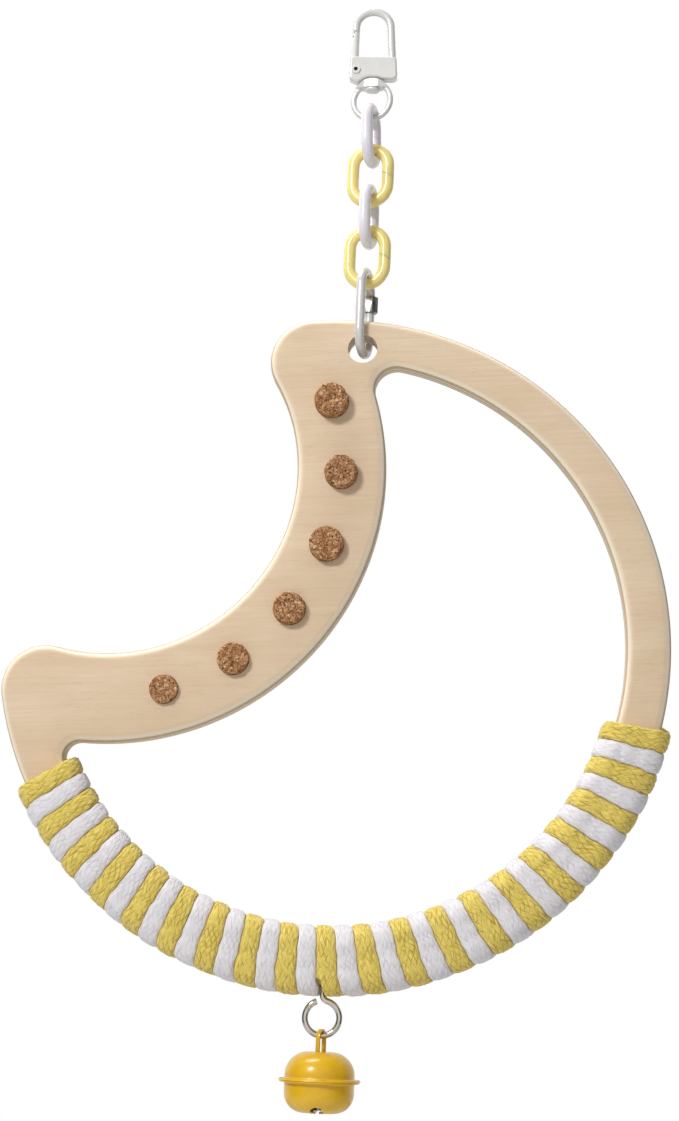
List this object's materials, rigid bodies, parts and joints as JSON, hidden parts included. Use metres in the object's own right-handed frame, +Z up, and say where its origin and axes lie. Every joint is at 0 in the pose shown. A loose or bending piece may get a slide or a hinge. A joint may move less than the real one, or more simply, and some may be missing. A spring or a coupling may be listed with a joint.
{
  "type": "bird swing",
  "caption": "Hanging cage swing: snap hook, swivel ring, plastic chain and quick link carry a plywood ring with cork plugs, a cord-wound perch and a bell.",
  "frame": {"origin": "the inside top of the hook's bow, where it rests on the cage bar", "axes": "+Z up along the hanging swing, +X to the right as seen from the front, +Y away from the front, so the board's faces look along Y"},
  "size_m": [0.236, 0.028, 0.4032],
  "materials": {
    "hook_white": "white satin lacquer",
    "steel": "bright",
    "link_white": "glossy moulded plastic",
    "link_yellow": "glossy moulded plastic",
    "quick_link_white": "white satin",
    "birch_plywood": "sanded birch plywood, bare",
    "cork": "agglomerated cork",
    "cord_yellow": "braided cord",
    "cord_white": "braided cord",
    "nickel": "nickel-plated wire",
    "bell_yellow": "yellow gloss lacquer"
  },
  "bodies": {
    "hook": {"hook_body": "hook_white", "gate_pin": "hook_white", "swivel_stud": "hook_white", "gate_spring": "steel"},
    "gate": {"hook_gate": "hook_white"},
    "ring": {"swivel_ring": "hook_white"},
    "link_1": {"chain_link_1": "link_white"},
    "link_2": {"chain_link_2": "link_yellow"},
    "link_3": {"chain_link_3": "link_white"},
    "link_4": {"chain_link_4": "link_yellow"},
    "quick": {"quick_link": "quick_link_white"},
    "sleeve": {"quick_link_sleeve": "steel"},
    "swing": {"frame_board": "birch_plywood", "cork_plug_1": "cork", "cork_plug_2": "cork", "cork_plug_3": "cork", "cork_plug_4": "cork", "cork_plug_5": "cork", "cork_plug_6": "cork", "yellow_cord": "cord_yellow", "white_cord": "cord_white", "screw_eye": "nickel"},
    "bell": {"bell_loop": "bell_yellow", "bell_top": "bell_yellow", "bell_bottom": "bell_yellow"},
    "ball": {"bell_ball": "steel"}
  },
  "joints": [
    {"name": "gate_hinge", "type": "hinge", "parent": "hook", "child": "gate", "pos_m": [-0.0058, 0, -0.0225], "axis": [0, 1, 0], "range_deg": [0, 28], "stiffness_Nm_per_rad": 0.01, "springref_deg": -11.46, "deforming": ["gate_spring"]},
    {"name": "swivel", "type": "hinge", "parent": "hook", "child": "ring", "pos_m": [0.0005, 0, -0.034], "axis": [0, 0, 1], "continuous": true},
    {"name": "link_1_hang", "type": "hinge", "parent": "ring", "child": "link_1", "pos_m": [0.0005, 0, -0.041], "axis": [0.9816, -0.1908, 0], "range_deg": [-25, 25]},
    {"name": "link_2_hang", "type": "hinge", "parent": "link_1", "child": "link_2", "pos_m": [0.00109, 0, -0.05789], "axis": [0.1908, 0.9816, 0], "range_deg": [-25, 25]},
    {"name": "link_3_hang", "type": "hinge", "parent": "link_2", "child": "link_3", "pos_m": [0.00109, 0, -0.07369], "axis": [0.9816, -0.1908, 0], "range_deg": [-25, 25]},
    {"name": "link_4_hang", "type": "hinge", "parent": "link_3", "child": "link_4", "pos_m": [0.00109, 0, -0.08949], "axis": [0.1908, 0.9816, 0], "range_deg": [-25, 25]},
    {"name": "quick_link_hang", "type": "hinge", "parent": "link_4", "child": "quick", "pos_m": [0.00109, 0, -0.10529], "axis": [0.9816, -0.1908, 0], "range_deg": [-25, 25]},
    {"name": "sleeve_screw", "type": "slide", "parent": "quick", "child": "sleeve", "axis": [0, 0, 1], "range_m": [-0.0045, 0]},
    {"name": "board_swing", "type": "hinge", "parent": "quick", "child": "swing", "pos_m": [0.00109, 0, -0.13138], "axis": [0, 1, 0], "range_deg": [-25, 25]},
    {"name": "bell_hang", "type": "hinge", "parent": "swing", "child": "bell", "pos_m": [-0.00383, 0, -0.37444], "axis": [1, 0, 0], "range_deg": [-35, 35]},
    {"name": "ball_rattle", "type": "slide", "parent": "bell", "child": "ball", "axis": [0, 0, 1], "range_m": [0, 0.008]}
  ]
}
